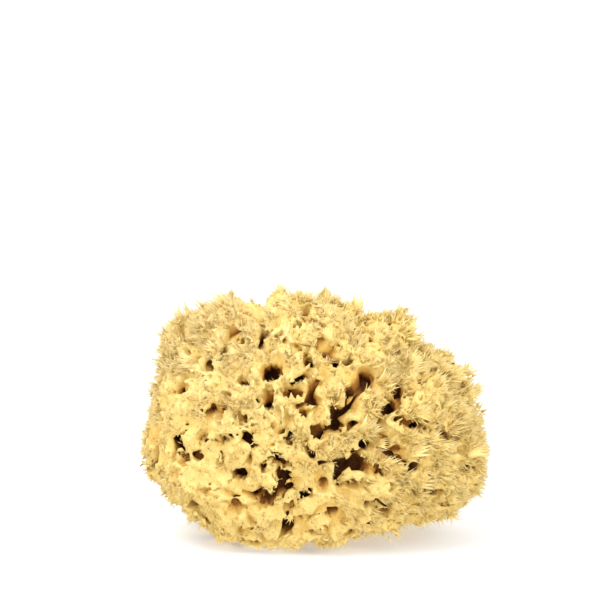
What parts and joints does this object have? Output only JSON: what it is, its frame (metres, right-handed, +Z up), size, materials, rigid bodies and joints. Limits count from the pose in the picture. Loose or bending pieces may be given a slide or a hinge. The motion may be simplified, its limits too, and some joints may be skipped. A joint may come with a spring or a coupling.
{
  "type": "sea sponge",
  "caption": "Dried natural bath sponge: one rounded, lobed lump with open pores and a pointed relief all over, pressed flat where it rests.",
  "frame": {"origin": "middle of the bounding box's underside, on the surface that the sponge stands on", "axes": "+X to the right along the sponge's longest side, +Y to the back along its shortest side, +Z up; the side seen in the picture faces -Y"},
  "size_m": [0.1508, 0.1056, 0.1148],
  "materials": {
    "dried_sponge": "dry, matt spongin fibre, creamy yellow on the tufted tips, golden in the hollows and dark brown deep in the pores"
  },
  "bodies": {
    "root": {"sponge": "dried_sponge"}
  },
  "joints": []
}
